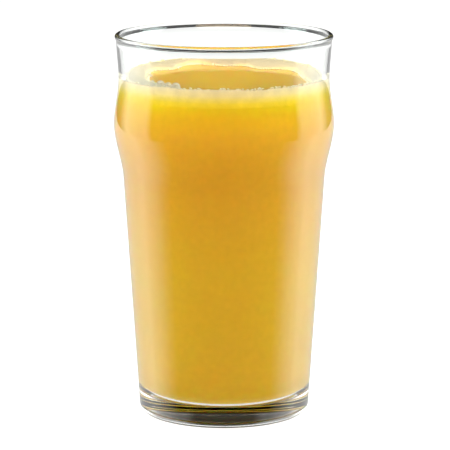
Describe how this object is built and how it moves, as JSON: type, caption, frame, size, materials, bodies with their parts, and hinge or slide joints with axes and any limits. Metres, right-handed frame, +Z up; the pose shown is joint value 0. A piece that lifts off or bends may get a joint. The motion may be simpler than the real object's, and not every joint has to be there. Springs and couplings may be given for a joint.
{
  "type": "glass of orange juice",
  "caption": "Tapered clear drinking glass with a grip bulge below its rim, filled with orange juice to the neck, with an uneven ring of froth along the wall.",
  "frame": {"origin": "middle of the foot, on the surface that the glass stands on", "axes": "+Z up along the glass's axis, -Y towards the viewer of the picture, +X to the viewer's right"},
  "size_m": [0.0858, 0.0858, 0.15],
  "materials": {
    "clear_glass": "polished clear soda-lime glass",
    "orange_juice": "cloudy orange juice, wet and glossy",
    "juice_froth": "fine pale froth with small bubbles"
  },
  "bodies": {
    "root": {"glass": "clear_glass", "juice": "orange_juice", "froth": "juice_froth"}
  },
  "joints": []
}
